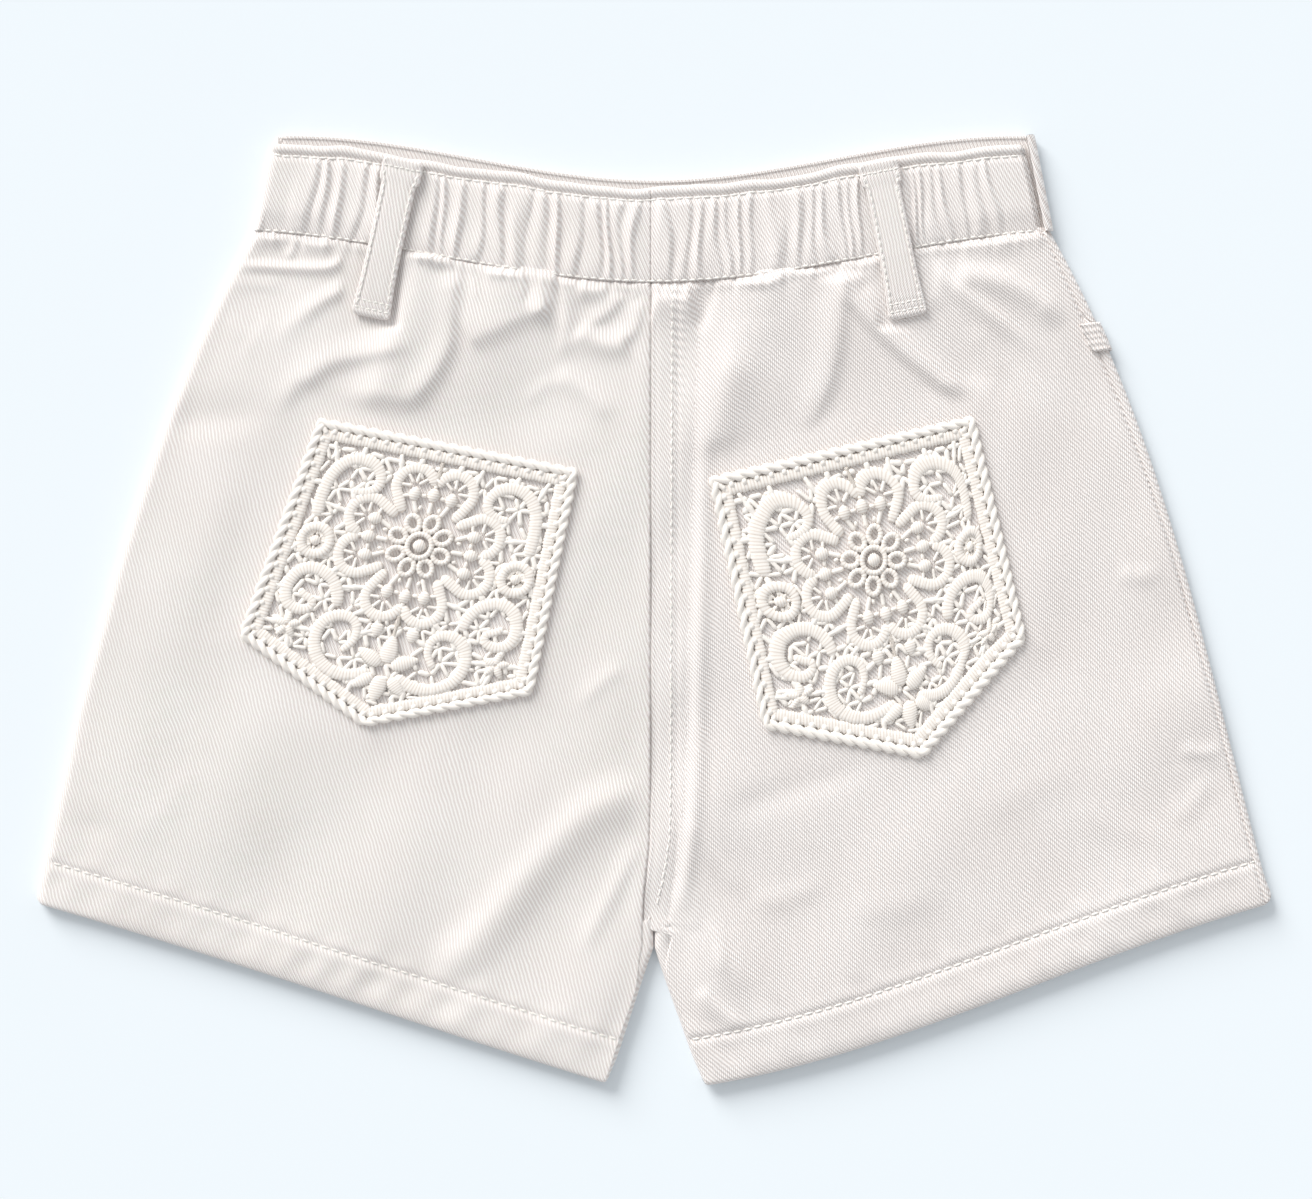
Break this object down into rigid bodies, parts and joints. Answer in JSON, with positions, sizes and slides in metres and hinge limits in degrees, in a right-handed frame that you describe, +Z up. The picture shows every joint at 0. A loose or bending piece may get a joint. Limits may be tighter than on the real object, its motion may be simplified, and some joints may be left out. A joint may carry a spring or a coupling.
{
  "type": "child's shorts laid flat",
  "caption": "Child's white cotton twill shorts lying flat, back up, with elastic back waistband, belt loops and pointed lace patch pockets.",
  "frame": {"origin": "on the surface the shorts lie on, under the middle of their bounding box", "axes": "+Z up from the surface, +Y from the hems to the waist, +X across to the right as seen from above; the back of the shorts is up"},
  "size_m": [0.3957, 0.304, 0.0078],
  "materials": {
    "twill": "matte white cotton twill",
    "waistband_twill": "matte white cotton twill, gathered",
    "lace_cotton": "soft white cotton guipure lace"
  },
  "bodies": {
    "root": {"front_left": "twill", "front_right": "twill", "pocket_facing_left": "twill", "pocket_facing_right": "twill", "back_left": "twill", "back_right": "twill", "back_waistband_left": "waistband_twill", "back_waistband_right": "waistband_twill", "front_waistband": "waistband_twill", "belt_loop_left": "waistband_twill", "belt_loop_right": "waistband_twill", "pocket_tab_right": "twill", "lace_pocket_left": "lace_cotton", "lace_pocket_right": "lace_cotton"}
  },
  "joints": []
}
